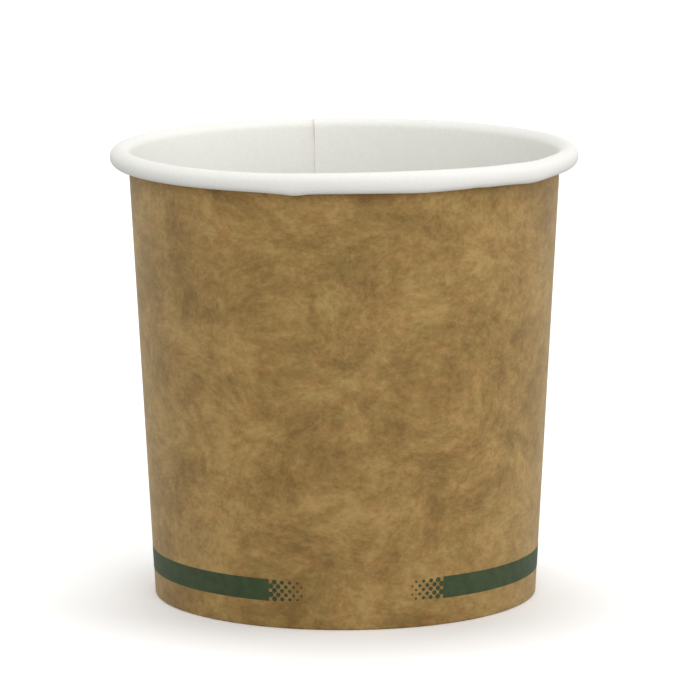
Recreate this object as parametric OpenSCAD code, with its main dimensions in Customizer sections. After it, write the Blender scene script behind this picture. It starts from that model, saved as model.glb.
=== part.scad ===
// Round paper soup bowl: a leaning board wall with a rolled rim and a lapped side seam,
// a recessed base held in the wall's hem, and a band printed near the foot.
// The origin is the centre of the foot, on the table. Z points up and the front faces -Y.

/* [Bowl] */
// Outside diameter of the rolled rim
rim_d = 115; // [105:0.5:130]
// Height from the table to the top of the rim
bowl_h = 111.5; // [70:0.5:140]
// Outside diameter of the wall at the foot
foot_d = 94.5; // [85:0.5:100]
// Thickness of the wall's board
wall_t = 0.4; // [0.3:0.05:0.6]

/* [Rolled rim] */
// Width of the roll, with the wall's board
roll_w = 4.9; // [4:0.1:6]
// Length of the straight drop on the roll's outer side
roll_flat = 0.15; // [0.05:0.05:1]
// Gap between the turns of the roll
roll_gap = 0.12; // [0.06:0.02:0.3]
// Angle that the board's edge is tucked on inside the roll
tuck_angle = 75; // [20:5:120]

/* [Side seam] */
// Width of the lap, round the wall under the rim
lap_w = 8; // [5:0.5:14]
// Place of the lap's inner edge, anticlockwise from the right-hand side as seen from above
seam_angle = 98.4; // [92:0.2:110]
// How far the lap's two boards are pressed into each other where they are sealed
lap_press = 0.05; // [0.02:0.01:0.1]

/* [Base] */
// Thickness of the base's board
base_t = 0.35; // [0.25:0.05:0.5]
// Height of the recess under the base
recess_h = 7; // [5:0.5:10]
// Outer radius of the bend between the base and its skirt
bend_r = 0.8; // [0.6:0.1:1.5]
// Gap between the sealed layers at the foot
seal_gap = 0.03; // [0.02:0.01:0.08]
// Room between the hem's edge and the underside of the base
hem_room = 1.5; // [1:0.1:3]

/* [Printed band] */
// Height of the band's lower edge above the table
band_z = 6.75; // [3:0.25:40]
// Height of the band
band_h = 5.1; // [3:0.1:12]
// Thickness of the ink
ink_t = 0.05; // [0.03:0.01:0.1]
// Width of the plain space at the front, between the band's two ends
space_w = 43.5; // [30:0.5:60]
// Angle from the front to the middle of the plain space, positive to the right
space_turn = 3.3; // [-8:0.1:8]

/* [Dots at the band's ends] */
// Columns of dots at each end
dot_columns = 9; // [3:1:11]
// Distance between two columns, round the wall
column_pitch = 0.97; // [0.9:0.01:1.2]
// Distance between two dots of a column
dot_pitch = 2.06; // [1.9:0.02:2.6]
// Radius of the dots beside the band
dot_r_near = 0.68; // [0.5:0.02:0.7]
// Radius of the dots farthest from the band
dot_r_far = 0.25; // [0.15:0.01:0.4]

/* [Hidden] */
$fn = 180;

// Largest turn between two points of an arc in a section
arc_step = 22.5;

// Dots in a column, by turns, and the sides of each dot's outline
dot_rows = [2, 3];
dot_sides = 32;

// How far the wall's section reaches along the flat of the fold, as a share of the board
fold_reach = 0.75;

// The centre of the roll's top turn, in a section: distance from the axis, and height
foot_r = foot_d / 2;
roll_r = roll_w / 2;
roll_centre = [rim_d / 2 - roll_r, bowl_h - roll_r];

// The wall's outer face runs from the foot to where it meets the roll's inner surface
run = roll_centre[0] - foot_r;
rise = roll_centre[1] - wall_t;
lean = acos((roll_r - wall_t) / norm([run, rise])) - atan2(rise, run);
wall_l = run * sin(lean) + rise * cos(lean);

// The turns of the roll get smaller as the board winds in
lower_r = roll_r - (wall_t + roll_gap) / 2;
tuck_r = roll_r - wall_t - roll_gap;

// The leaning layers of the foot at the top of the fold, from the outside in
wall_w = wall_t / cos(lean);
base_w = base_t / cos(lean);
skirt_r = foot_r - wall_w - seal_gap;
hem_r = skirt_r - base_w - seal_gap;
fold_r = hem_r - wall_w;
hem_l = (recess_h - hem_room - wall_t) / cos(lean);
base_top = recess_h + base_t;
skirt_l = (base_top - bend_r * (1 + sin(lean)) - wall_t) / cos(lean);

// The wall is one board wound once round. Seen from above with the lap's inner edge on the
// right, its first half is round the bowl's axis, and its second half swings out, about an
// axis of its own, to end in a flap over the first half's start.
lap_angle = lap_w / (rim_d / 2 - roll_w + wall_t) * 180 / PI;
swing = (wall_w - lap_press) / 2;

// Radius of the wall's outer face at a height
function face_r(z) = foot_r + (z - wall_t) * tan(lean);

// The band's ends, as angles from the lap's inner edge
band_mid = band_z + band_h / 2;
mm_angle = 180 / PI / face_r(band_mid);
space_angle = 270 + space_turn - seam_angle;
right_end = space_angle + space_w / 2 * mm_angle;
left_end = space_angle - space_w / 2 * mm_angle;

// Points of an arc, from its first or second point on
function arc(centre, r, from, to, first = 0) =
    let (steps = ceil(abs(to - from) / arc_step))
    [for (k = [first:steps]) let (a = from + (to - from) * k / steps) centre + r * [cos(a), sin(a)]];

// A list of points from its last to its first
function reversed(points) = [for (k = [len(points) - 1:-1:0]) points[k]];

// Places a point given across and along a leaning layer whose outer face starts at radius r
function leaning(r, p) =
    [r + p[0] * cos(lean) + p[1] * sin(lean), wall_t - p[0] * sin(lean) + p[1] * cos(lean)];

// The board's course through the roll, at a depth below its outer surface
function roll_course(depth) = concat(
    arc([roll_r - wall_t, wall_l], roll_r - depth, 180, 0),
    arc([2 * roll_r - wall_t - lower_r, wall_l - roll_flat], lower_r - depth, 0, -180),
    arc([roll_r - wall_t, wall_l - roll_flat], tuck_r - depth, 180, 180 - tuck_angle, 1)
);

// Parts of the board's outline: in and out of the roll, and round the fold under the foot
roll_outline =
    [for (p = concat(roll_course(wall_t), reversed(roll_course(0)))) leaning(foot_r, p)];
wall_bottom = [foot_r - wall_w, wall_t];
hem_bottom = [hem_r, wall_t];
hem_top_outer = leaning(hem_r, [0, hem_l]);
hem_top_inner = leaning(hem_r, [-wall_t, hem_l]);
outer_corner = arc([foot_r - wall_t, wall_t], wall_t, 270, 360);
inner_corner = arc([fold_r + wall_t, wall_t], wall_t, 180, 270);
plate_r = fold_r + fold_reach * wall_t;

// The wall's board in section, from the fold up into the roll
module wall_section() {
    polygon(concat([[plate_r, 0]], outer_corner, roll_outline, [wall_bottom, [plate_r, wall_t]]));
}

// The hem in section, with the flat of the fold
module hem_section() {
    polygon(concat(
        [hem_top_inner], inner_corner,
        [[foot_r - wall_t, 0], [foot_r - wall_t, wall_t], hem_bottom, hem_top_outer]
    ));
}

// Turns a section round the bowl's axis between two angles, moved out by shift
module turned(from, to, shift = 0) {
    rotate_extrude(start = from, angle = to - from) translate([shift, 0]) children();
}

// Turns a section round the axis of the wall's second half
module swung(from, to) {
    translate([swing, 0, 0]) turned(from, to, swing) children();
}

module side_wall() {
    color([0.62, 0.50, 0.33]) rotate([0, 0, seam_angle]) {
        turned(180, 360) wall_section();
        swung(0, 180) wall_section();
        swung(-lap_angle, 0) wall_section();
        rotate_extrude() hem_section();
    }
}

// The base in section: a flat floor, a bend and a skirt along the inside of the wall
module base_section() {
    skirt_bend = leaning(skirt_r, [-bend_r, skirt_l]);
    polygon(concat(
        [[0, recess_h]],
        arc(skirt_bend, bend_r - base_t, 90, -lean),
        [leaning(skirt_r, [-base_t, seal_gap]), leaning(skirt_r, [0, seal_gap])],
        arc(skirt_bend, bend_r, -lean, 90),
        [[0, base_top]]
    ));
}

module base_disc() {
    color([0.93, 0.92, 0.88]) rotate_extrude() base_section();
}

// The ink in section, on the wall's outer face
module ink_section() {
    low = face_r(band_z);
    high = face_r(band_z + band_h);
    polygon([[low, band_z], [low + ink_t, band_z], [high + ink_t, band_z + band_h], [high, band_z + band_h]]);
}

// The dots of one end, which get smaller away from the band
module dots(end_angle, side, shift = 0) {
    for (column = [0:dot_columns - 1]) {
        rows = dot_rows[column % 2];
        angle = end_angle + side * (column + 0.5) * column_pitch * mm_angle;
        r = dot_r_near + (dot_r_far - dot_r_near) * column / (dot_columns - 1);
        for (row = [0:rows - 1]) {
            z = band_mid + (row - (rows - 1) / 2) * dot_pitch;
            rotate([0, 0, angle]) translate([face_r(z) + shift, 0, z])
                rotate([0, 90 + lean, 0]) cylinder(r = r, h = ink_t, $fn = dot_sides);
        }
    }
}

module printed_band() {
    color([0.27, 0.35, 0.22]) rotate([0, 0, seam_angle]) {
        turned(right_end, 360 - lap_angle) ink_section();
        swung(-lap_angle, left_end) ink_section();
        dots(right_end, -1);
        translate([swing, 0, 0]) dots(left_end, 1, swing);
    }
}

side_wall();
base_disc();
printed_band();
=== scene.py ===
import math

import bmesh
import bpy
from mathutils import Matrix, Vector


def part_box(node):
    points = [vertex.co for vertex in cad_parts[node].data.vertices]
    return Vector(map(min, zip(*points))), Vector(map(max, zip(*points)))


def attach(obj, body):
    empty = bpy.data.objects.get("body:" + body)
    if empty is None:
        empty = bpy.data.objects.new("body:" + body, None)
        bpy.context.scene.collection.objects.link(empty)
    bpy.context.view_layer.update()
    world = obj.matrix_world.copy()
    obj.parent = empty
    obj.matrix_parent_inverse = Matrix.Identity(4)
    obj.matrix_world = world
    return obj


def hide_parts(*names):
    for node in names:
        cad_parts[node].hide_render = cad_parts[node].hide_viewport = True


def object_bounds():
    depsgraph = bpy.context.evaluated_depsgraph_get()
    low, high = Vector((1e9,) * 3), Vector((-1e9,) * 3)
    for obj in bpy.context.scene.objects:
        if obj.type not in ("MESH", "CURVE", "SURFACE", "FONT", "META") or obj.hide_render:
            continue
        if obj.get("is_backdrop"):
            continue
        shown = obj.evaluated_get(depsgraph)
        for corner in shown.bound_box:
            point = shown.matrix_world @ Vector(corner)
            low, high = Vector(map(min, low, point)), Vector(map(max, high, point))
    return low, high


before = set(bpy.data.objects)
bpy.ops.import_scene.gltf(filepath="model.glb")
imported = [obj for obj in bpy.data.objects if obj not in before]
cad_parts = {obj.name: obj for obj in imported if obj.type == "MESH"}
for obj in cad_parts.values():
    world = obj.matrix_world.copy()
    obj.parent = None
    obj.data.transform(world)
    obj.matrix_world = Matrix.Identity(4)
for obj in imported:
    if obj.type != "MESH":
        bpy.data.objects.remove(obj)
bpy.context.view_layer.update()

# The side wall: one fan of kraft board, coated white on the inside. It is wound once round and
# sealed along a lap at the back. Its top is rolled outwards into the rim, white side out, and its
# foot is folded in and up as a hem that holds the base's skirt.
mm = 0.001
wall_low, wall_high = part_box("side_wall")
bowl_height = wall_high.z
rim_radius = -wall_low.y
foot_radius = 47.25 * mm
board = 0.4 * mm
base_board = 0.35 * mm
seal_gap = 0.03 * mm
hem_height = 5.5 * mm
fold_radius = 0.5 * mm
roll_radius = 2.45 * mm
roll_gap = 0.12 * mm
roll_drop = 0.15 * mm
tuck_turn = math.radians(75)
lap_width = 8 * mm
lap_press = 0.05 * mm
seam = math.radians(98.4)
wall_rows = 44
column_turn = math.radians(1.25)
fold_steps = 5
roll_steps = 14
inner_roll_steps = 12

# The lean of the wall from upright, and its directions: up the wall, and straight off its face
run = rim_radius - roll_radius - foot_radius
rise = bowl_height - roll_radius - board
lean = math.acos((roll_radius - board) / math.hypot(run, rise)) - math.atan2(rise, run)
up_wall = Vector((math.sin(lean), 0, math.cos(lean)))
off_wall = Vector((math.cos(lean), 0, -math.sin(lean)))

# The wall's second half swings out about an axis of its own, to end in a flap over the first
lap = lap_width / (rim_radius - 2 * roll_radius + board)
swing = (board / math.cos(lean) - lap_press) / 2

# How far the roll's crest rises, and its lower lip drops, where it was pressed or pulled out of
# round: degrees from the front towards the right, half width in degrees, and millimetres
crest_rises = ((-45, 12, -0.33), (-24, 8, -0.25), (15, 14, 0.33), (57, 5, -0.22))
lip_drops = ((-13.5, 4, 0.35), (-12.3, 1.5, 0.28), (19, 5, 0.25), (34, 1.5, -0.15), (54, 5, 0.5))

# The outer flap's roll starts smaller, because it is rolled up inside the inner flap's. The slack,
# in radians, lets the flap's own edge count as its start and not as a whole turn on.
nest_turn = math.radians(24)
start_slack = 0.001


def face_radius(z):
    """Distance from the bowl's axis to the wall's outer face at a height."""
    return foot_radius + (z - board) * math.tan(lean)


def draw_line(bm, tip, end):
    """Draws a section on from its last vertex, straight to a point."""
    drawn = bmesh.ops.extrude_vert_indiv(bm, verts=[tip])["verts"][0]
    drawn.co = end
    return drawn


def draw_arc(bm, tip, centre, turn, steps):
    """Draws a section on round a centre, clockwise if the turn is positive."""
    drawn = bmesh.ops.spin(bm, geom=[tip], cent=centre, axis=(0, 1, 0), angle=turn, steps=steps)
    return next(part for part in drawn["geom_last"] if isinstance(part, bmesh.types.BMVert))


def turn_round(bm, section, turn, merge=False):
    """Turns a section round the bowl's axis and returns its last copy."""
    steps = round(abs(turn) / column_turn)
    turned = bmesh.ops.spin(
        bm, geom=section, cent=(0, 0, 0), axis=(0, 0, 1), angle=turn, steps=steps, use_merge=merge
    )
    return turned["geom_last"]


def look_outwards(bm):
    """Turns a sheet's faces the right way out: half way up, they look away from the bowl's axis."""
    bmesh.ops.recalc_face_normals(bm, faces=bm.faces[:])
    heights = [vertex.co.z for vertex in bm.verts]
    middle = (min(heights) + max(heights)) / 2
    half_way = min(bm.faces, key=lambda face: abs(face.calc_center_median().z - middle))
    if half_way.normal.xy.dot(half_way.calc_center_median().xy) < 0:
        bmesh.ops.reverse_faces(bm, faces=bm.faces[:])


def finish_piece(bm, name, materials, thickness, node):
    """Makes a sheet into a piece whose board grows inwards from the sheet's face."""
    for face in bm.faces:
        face.smooth = True
    for edge in bm.edges:
        edge.smooth = not edge.is_boundary
    mesh = bpy.data.meshes.new(name)
    bm.to_mesh(mesh)
    bm.free()
    piece = bpy.data.objects.new(name, mesh)
    bpy.context.scene.collection.objects.link(piece)
    for material in materials:
        mesh.materials.append(material)
    body = piece.modifiers.new("thickness", "SOLIDIFY")
    body.thickness = thickness
    body.offset = -1
    body.use_even_offset = True
    body.material_offset = min(1, len(materials) - 1)
    body.material_offset_rim = len(materials) - 1
    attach(piece, "root")
    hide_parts(node)
    return piece


def share(value):
    """A value held between 0 and 1."""
    return min(max(value, 0), 1)


def spread(angle, places):
    """The sum of the soft humps that a list of places gives at an angle in degrees."""
    return sum(size * math.exp(-(((angle - place) / width) ** 2) / 2) for place, width, size in places)


wall = bmesh.new()
hem_depth = (2 * board + base_board) / math.cos(lean) + 2 * seal_gap
inner_bend = Vector((face_radius(fold_radius) - hem_depth + fold_radius / math.cos(lean), 0, fold_radius))
outer_bend = Vector((face_radius(fold_radius) - fold_radius / math.cos(lean), 0, fold_radius))
roll_centre = Vector((rim_radius - roll_radius, 0, bowl_height - roll_radius))
lower_turn_radius = roll_radius - board - (board + roll_gap) / 2
tuck_radius = roll_radius - 2 * board - roll_gap

tip = bmesh.ops.create_vert(wall, co=(face_radius(hem_height) - hem_depth, 0, hem_height))["vert"][0]
tip = draw_line(wall, tip, inner_bend - off_wall * fold_radius)
tip = draw_arc(wall, tip, inner_bend, -math.pi / 2 - lean, fold_steps)
tip = draw_line(wall, tip, (outer_bend.x, 0, 0))
tip = draw_arc(wall, tip, outer_bend, lean - math.pi / 2, fold_steps)
tip = draw_line(wall, tip, roll_centre - off_wall * (roll_radius - board))
tip = draw_arc(wall, tip, roll_centre, math.pi, roll_steps)
tip = draw_line(wall, tip, tip.co - up_wall * roll_drop)
tip = draw_arc(wall, tip, tip.co - off_wall * lower_turn_radius, math.pi, inner_roll_steps)
tip = draw_arc(wall, tip, tip.co + off_wall * tuck_radius, tuck_turn, fold_steps)
longest = max(wall.edges, key=lambda edge: edge.calc_length())
bmesh.ops.subdivide_edges(wall, edges=[longest], cuts=wall_rows)

bmesh.ops.translate(wall, verts=wall.verts[:], vec=(swing, 0, 0))
bmesh.ops.rotate(wall, verts=wall.verts[:], cent=(0, 0, 0), matrix=Matrix.Rotation(seam - lap, 3, "Z"))
halfway = turn_round(wall, wall.verts[:] + wall.edges[:], math.pi + lap)
seam_side = Vector((math.cos(seam), math.sin(seam), 0))
bmesh.ops.translate(wall, verts=wall.verts[:], vec=seam_side * swing)

for vertex in wall.verts:
    angle = math.atan2(vertex.co.y, vertex.co.x)
    past_start = (angle - seam + lap + start_slack) % (2 * math.pi)
    nested = 1 - share((past_start - lap) / nest_turn)
    outwards = vertex.co.xy.normalized().to_3d()
    centre = outwards * (roll_centre.x + 2 * swing) + Vector((0, 0, roll_centre.z))
    if nested > 0 and vertex.co.z > roll_centre.z - 2 * roll_radius:
        near = 1 - share(((vertex.co - centre).length - roll_radius) / roll_radius)
        vertex.co = vertex.co.lerp(centre, near * nested * board / roll_radius)

turn_round(wall, halfway, math.pi)
look_outwards(wall)

for vertex in wall.verts:
    from_front = math.degrees(math.atan2(vertex.co.x, -vertex.co.y))
    below_crest = share((bowl_height - vertex.co.z) / (2 * roll_radius))
    off_face = share((vertex.co.xy.length - face_radius(vertex.co.z)) / roll_radius)
    vertex.co.z += (1 - below_crest) * spread(from_front, crest_rises) * mm
    vertex.co.z -= below_crest * off_face * spread(from_front, lip_drops) * mm


def paint(code):
    """An sRGB hex colour as linear red, green, blue and alpha."""
    channels = [int(code[k : k + 2], 16) / 255 for k in (1, 3, 5)]
    linear = [c / 12.92 if c <= 0.04045 else ((c + 0.055) / 1.055) ** 2.4 for c in channels]
    return (*linear, 1.0)


def add(tree, kind, inputs, stops=(), **settings):
    """Adds a shader node. Each input is a value, or an output to link from; stops are a ramp's."""
    made = tree.nodes.new(kind)
    for name, value in settings.items():
        setattr(made, name, value)
    for socket, value in inputs.items():
        if isinstance(value, bpy.types.NodeSocket):
            tree.links.new(value, made.inputs[socket])
        else:
            made.inputs[socket].default_value = value
    for number, (position, colour) in enumerate(stops):
        ramp = made.color_ramp.elements
        stop = ramp[number] if number < 2 else ramp.new(position)
        stop.position = position
        stop.color = colour
    return made


def new_material(name):
    """A material with a bare surface shader, and its tree, shader and object coordinates."""
    material = bpy.data.materials.new(name)
    material.use_nodes = True
    tree = material.node_tree
    place = add(tree, "ShaderNodeTexCoord", {}).outputs["Object"]
    return material, tree, tree.nodes["Principled BSDF"], place


# Unbleached kraft board, uncoated outside: matt, with soft clouds where the pulp lay thick or thin,
# faint reddish and yellowish patches, and pale fibres lying every way
cloud_size = 18.0
patch_size = 4.0
fibre_size = 2.4
grain_stretch = 1.35
kraft, tree, shader, place = new_material("unbleached_kraft_board")
laid = add(
    tree,
    "ShaderNodeMapping",
    {"Vector": place, "Scale": (1 / grain_stretch, 1 / grain_stretch, 1)},
)
clouds = add(
    tree,
    "ShaderNodeTexNoise",
    {
        "Vector": laid.outputs["Vector"],
        "Scale": 1000 / cloud_size,
        "Detail": 5.0,
        "Roughness": 0.95,
        "Distortion": 0.2,
    },
)
cloud_colour = add(
    tree,
    "ShaderNodeValToRGB",
    {"Fac": clouds.outputs["Fac"]},
    stops=((0.36, paint("#80622F")), (0.5, paint("#9A7A42")), (0.64, paint("#B29156"))),
)
patches = add(
    tree,
    "ShaderNodeTexNoise",
    {"Vector": laid.outputs["Vector"], "Scale": 1000 / patch_size, "Detail": 3.0, "Roughness": 0.7},
)
patch_colour = add(
    tree,
    "ShaderNodeValToRGB",
    {"Fac": patches.outputs["Fac"]},
    stops=((0.35, paint("#FFF8F3")), (0.5, paint("#FBFAF7")), (0.65, paint("#F7FBF3"))),
)
toned = add(
    tree,
    "ShaderNodeMix",
    {0: 1.0, 6: cloud_colour.outputs["Color"], 7: patch_colour.outputs["Color"]},
    data_type="RGBA",
    blend_type="MULTIPLY",
)
fibre_noise = add(
    tree,
    "ShaderNodeTexNoise",
    {"Vector": laid.outputs["Vector"], "Scale": 1000 / fibre_size, "Detail": 1.0, "Distortion": 1.0},
)
fibre_line = add(
    tree,
    "ShaderNodeValToRGB",
    {"Fac": fibre_noise.outputs["Fac"]},
    stops=((0.465, (0, 0, 0, 1)), (0.5, (1, 1, 1, 1)), (0.535, (0, 0, 0, 1))),
)
fibre_patch = add(
    tree,
    "ShaderNodeValToRGB",
    {"Fac": clouds.outputs["Fac"]},
    stops=((0.5, (0, 0, 0, 1)), (0.6, (0.3, 0.3, 0.3, 1))),
)
fibres = add(
    tree,
    "ShaderNodeMath",
    {0: fibre_line.outputs["Color"], 1: fibre_patch.outputs["Color"]},
    operation="MULTIPLY",
)
with_fibres = add(
    tree,
    "ShaderNodeMix",
    {0: fibres.outputs[0], 6: toned.outputs[2], 7: paint("#AF9666")},
    data_type="RGBA",
)
tooth = add(
    tree,
    "ShaderNodeBump",
    {"Height": clouds.outputs["Fac"], "Strength": 0.1, "Distance": 0.05 * mm},
)
tree.links.new(with_fibres.outputs[2], shader.inputs["Base Color"])
tree.links.new(tooth.outputs["Normal"], shader.inputs["Normal"])
shader.inputs["Roughness"].default_value = 0.7
shader.inputs["IOR"].default_value = 1.45
shader.inputs["Sheen Weight"].default_value = 0.4
shader.inputs["Sheen Roughness"].default_value = 0.45
shader.inputs["Sheen Tint"].default_value = paint("#E8DCC0")

# White board under a thin moisture-proof film: a warm white, nearly matt, with a faint grain
grain_size = 0.8
coated, tree, shader, place = new_material("film_coated_white_board")
grain = add(
    tree,
    "ShaderNodeTexNoise",
    {"Vector": place, "Scale": 1000 / grain_size, "Detail": 2.0},
)
film_colour = add(
    tree,
    "ShaderNodeValToRGB",
    {"Fac": grain.outputs["Fac"]},
    stops=((0.3, paint("#EDECE6")), (0.7, paint("#F1F0EB"))),
)
film_grain = add(
    tree,
    "ShaderNodeBump",
    {"Height": grain.outputs["Fac"], "Strength": 0.05, "Distance": 0.02 * mm},
)
tree.links.new(film_colour.outputs["Color"], shader.inputs["Base Color"])
tree.links.new(film_grain.outputs["Normal"], shader.inputs["Normal"])
shader.inputs["Roughness"].default_value = 0.55
shader.inputs["IOR"].default_value = 1.5
shader.inputs["Specular IOR Level"].default_value = 0.2

# The board's cut edge: the bare pulp between its two faces, a pale cream and rough
cut_edge, tree, shader, place = new_material("cut_board_edge")
edge_fibres = add(
    tree,
    "ShaderNodeTexNoise",
    {"Vector": place, "Scale": 1000 / grain_size, "Detail": 3.0},
)
edge_colour = add(
    tree,
    "ShaderNodeValToRGB",
    {"Fac": edge_fibres.outputs["Fac"]},
    stops=((0.3, paint("#E4DECF")), (0.7, paint("#ECE8DD"))),
)
tree.links.new(edge_colour.outputs["Color"], shader.inputs["Base Color"])
shader.inputs["Roughness"].default_value = 0.9

finish_piece(wall, "wound_wall", (kraft, coated, cut_edge), board, "side_wall")

# The base: a disc of white board whose edge is drawn down into a skirt. It is pressed into the
# wall's foot and sealed between the wall and the hem, so it stands above the table.
recess = 7 * mm
base_bend = 0.8 * mm
bend_steps = 7
base_rings = 16
weld_distance = 0.01 * mm
base = bmesh.new()
base_top = recess + base_board
bend_z = base_top - base_bend
skirt_face = board / math.cos(lean) + seal_gap
bend_centre = Vector((face_radius(bend_z) - skirt_face - base_bend / math.cos(lean), 0, bend_z))
skirt_foot = board + seal_gap
tip = bmesh.ops.create_vert(base, co=(0, 0, base_top))["vert"][0]
tip = draw_line(base, tip, (bend_centre.x, 0, base_top))
tip = draw_arc(base, tip, bend_centre, math.pi / 2 + lean, bend_steps)
tip = draw_line(base, tip, (face_radius(skirt_foot) - skirt_face, 0, skirt_foot))
longest = max(base.edges, key=lambda edge: edge.calc_length())
bmesh.ops.subdivide_edges(base, edges=[longest], cuts=base_rings)
turn_round(base, base.verts[:] + base.edges[:], 2 * math.pi, merge=True)
bmesh.ops.remove_doubles(base, verts=base.verts[:], dist=weld_distance)
look_outwards(base)
finish_piece(base, "base_with_skirt", (coated, coated, cut_edge), base_board, "base_disc")

# The print: one pass of matt green ink on the kraft, low on the wall. The band stops at both sides
# of a plain space at the front, and each end breaks up into columns of dots that shrink away.
band_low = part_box("printed_band")[0].z
band_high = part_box("printed_band")[1].z
ink = 0.05 * mm
space_width = 43.5 * mm
space_turn = math.radians(3.3)
dot_columns = 9
column_pitch = 0.97 * mm
dot_pitch = 2.06 * mm
dot_radius_near = 0.68 * mm
dot_radius_far = 0.25 * mm
dot_sides = 20

band_middle = (band_low + band_high) / 2
band_radius = face_radius(band_middle)
space_angle = math.radians(-90) + space_turn
right_end = space_angle + space_width / 2 / band_radius
left_end = space_angle - space_width / 2 / band_radius + 2 * math.pi


def wound_out(verts, swung):
    """Moves ink from the bowl's cone out onto the wound wall."""
    for vertex in verts:
        angle = math.atan2(vertex.co.y, vertex.co.x)
        out = swing * (1 + math.cos(angle - seam)) if swung else 0
        vertex.co += Vector((math.cos(angle), math.sin(angle), 0)) * out


band = bmesh.new()
for start, end, swung in ((right_end, seam - lap, False), (seam - lap, left_end, True)):
    before = set(band.verts)
    low = bmesh.ops.create_vert(band, co=(face_radius(band_low) + ink, 0, band_low))["vert"][0]
    high = draw_line(band, low, (face_radius(band_high) + ink, 0, band_high))
    matrix = Matrix.Rotation(start, 3, "Z")
    bmesh.ops.rotate(band, verts=[low, high], cent=(0, 0, 0), matrix=matrix)
    turn_round(band, [low, high, low.link_edges[0]], end - start)
    wound_out(set(band.verts) - before, swung)
look_outwards(band)

for end, side, swung in ((right_end, -1, False), (left_end, 1, True)):
    for column in range(dot_columns):
        rows = 3 if column % 2 else 2
        angle = end + side * (column + 0.5) * column_pitch / band_radius
        radius = dot_radius_near + (dot_radius_far - dot_radius_near) * column / (dot_columns - 1)
        for row in range(rows):
            z = band_middle + (row - (rows - 1) / 2) * dot_pitch
            placed = (
                Matrix.Rotation(angle, 4, "Z")
                @ Matrix.Translation((face_radius(z) + ink, 0, z))
                @ Matrix.Rotation(math.pi / 2 + lean, 4, "Y")
            )
            dot = bmesh.ops.create_circle(
                band, cap_ends=True, segments=dot_sides, radius=radius, matrix=placed
            )
            wound_out(dot["verts"], swung)

# Matt flexographic ink, thin enough that the kraft's clouds show through it
under_size = 3.0
print_ink, tree, shader, place = new_material("green_ink_on_kraft")
under_ink = add(
    tree,
    "ShaderNodeTexNoise",
    {"Vector": place, "Scale": 1000 / under_size, "Detail": 3.0, "Roughness": 0.6},
)
ink_colour = add(
    tree,
    "ShaderNodeValToRGB",
    {"Fac": under_ink.outputs["Fac"]},
    stops=((0.36, paint("#2B3A1D")), (0.64, paint("#364722"))),
)
tree.links.new(ink_colour.outputs["Color"], shader.inputs["Base Color"])
shader.inputs["Roughness"].default_value = 0.5
shader.inputs["IOR"].default_value = 1.48

finish_piece(band, "ink_band", (print_ink,), ink, "printed_band")

# The stand: a plain white floor that keeps the bowl's soft shadow and runs past the view
floor_size = 12.0
floor_mesh = bmesh.new()
bmesh.ops.create_grid(floor_mesh, x_segments=1, y_segments=1, size=floor_size / 2)
mesh = bpy.data.meshes.new("floor")
floor_mesh.to_mesh(mesh)
floor_mesh.free()
floor = bpy.data.objects.new("floor", mesh)
bpy.context.scene.collection.objects.link(floor)
floor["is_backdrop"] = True

# Matt white paper, overexposed for the camera so that it is plain white outside the shadow. It sends
# less light back up onto the bowl than that, as a small sheet would.
floor_gain = 1.18
white_floor, tree, shader, place = new_material("matt_white_floor")
rays = add(tree, "ShaderNodeLightPath", {})
floor_colour = add(
    tree,
    "ShaderNodeMix",
    {0: rays.outputs["Is Camera Ray"], 6: paint("#B8B8B8"), 7: (floor_gain, floor_gain, floor_gain, 1.0)},
    data_type="RGBA",
)
tree.links.new(floor_colour.outputs[2], shader.inputs["Base Color"])
shader.inputs["Roughness"].default_value = 0.9
shader.inputs["Specular IOR Level"].default_value = 0.0
mesh.materials.append(white_floor)

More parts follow.
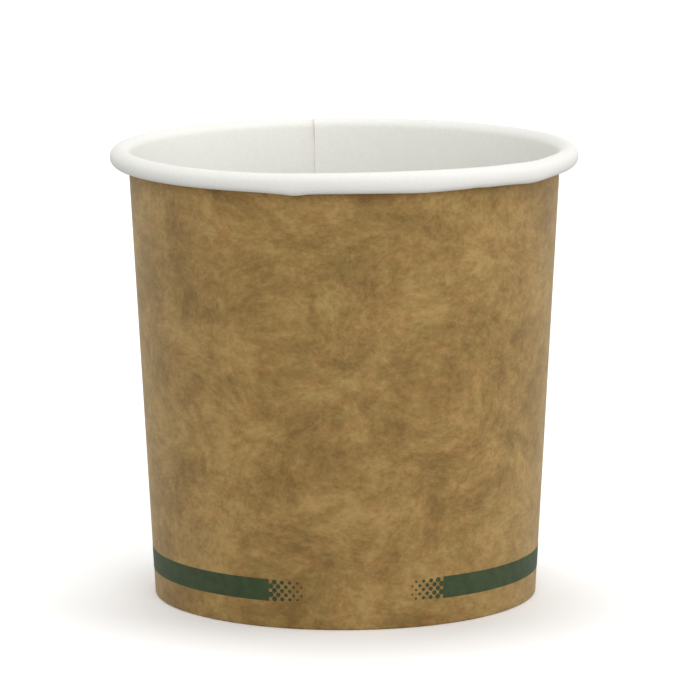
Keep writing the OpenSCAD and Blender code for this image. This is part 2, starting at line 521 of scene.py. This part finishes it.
# Studio light: softboxes on the right, overhead, in front and, weaker, on the left, and white walls.
# Each has its azimuth from the front, its height angle, its width in degrees, and its strength.
lights = (
    ("key_softbox", 90, 20, 50, 1.0),
    ("overhead_softbox", 180, 78, 25, 1.0),
    ("front_softbox", 10, 15, 60, 1.55),
    ("side_softbox", -100, 20, 60, 0.6),
)
for name, azimuth, elevation, angle, strength in lights:
    lamp = bpy.data.lights.new(name, "SUN")
    lamp.energy = strength
    lamp.angle = math.radians(angle)
    light = bpy.data.objects.new(name, lamp)
    bpy.context.scene.collection.objects.link(light)
    turned = Matrix.Rotation(math.radians(azimuth), 3, "Z")
    tilted = Matrix.Rotation(math.radians(90 - elevation), 3, "X")
    light.rotation_euler = (turned @ tilted).to_euler()

walls_light = 0.42
world = bpy.data.worlds.new("white_studio")
world.use_nodes = True
bpy.context.scene.world = world
tree = world.node_tree
rays = add(tree, "ShaderNodeLightPath", {})
seen = add(
    tree,
    "ShaderNodeMath",
    {0: rays.outputs["Is Camera Ray"], 1: rays.outputs["Is Glossy Ray"]},
    operation="MAXIMUM",
)
seen = add(
    tree,
    "ShaderNodeMath",
    {0: seen.outputs[0], 1: rays.outputs["Is Transmission Ray"]},
    operation="MAXIMUM",
)
ambient = add(tree, "ShaderNodeBackground", {"Color": (1, 1, 1, 1), "Strength": walls_light})
white = add(tree, "ShaderNodeBackground", {"Color": (1, 1, 1, 1), "Strength": 1.0})
sky = add(
    tree,
    "ShaderNodeMixShader",
    {0: seen.outputs[0], 1: ambient.outputs[0], 2: white.outputs[0]},
)
tree.links.new(sky.outputs[0], tree.nodes["World Output"].inputs["Surface"])

# The camera: far off with a long lens, a little above the rim, as the photograph was taken. Its
# distance and height angle are from a point half way up the bowl, on its axis.
half_way_up = 55 * mm
camera_distance = 1206.2 * mm
camera_height_angle = math.radians(9.775)
look_down = math.radians(9.526)
look_right = math.radians(0.057)
camera_roll = math.radians(-0.16)
camera_data = bpy.data.cameras.new("camera")
camera_data.sensor_width = 36.0
camera_data.lens = 250.5
camera_data.clip_end = 20.0
camera = bpy.data.objects.new("camera", camera_data)
bpy.context.scene.collection.objects.link(camera)
camera.location = (
    0,
    -camera_distance * math.cos(camera_height_angle),
    half_way_up + camera_distance * math.sin(camera_height_angle),
)
aimed = (
    Matrix.Rotation(-look_right, 3, "Z")
    @ Matrix.Rotation(math.pi / 2 - look_down, 3, "X")
    @ Matrix.Rotation(camera_roll, 3, "Z")
)
camera.rotation_euler = aimed.to_euler()
bpy.context.scene.camera = camera
bpy.context.scene.view_settings.view_transform = "Standard"

# The box round the visual model's pieces, leaving out the floor
low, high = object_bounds()
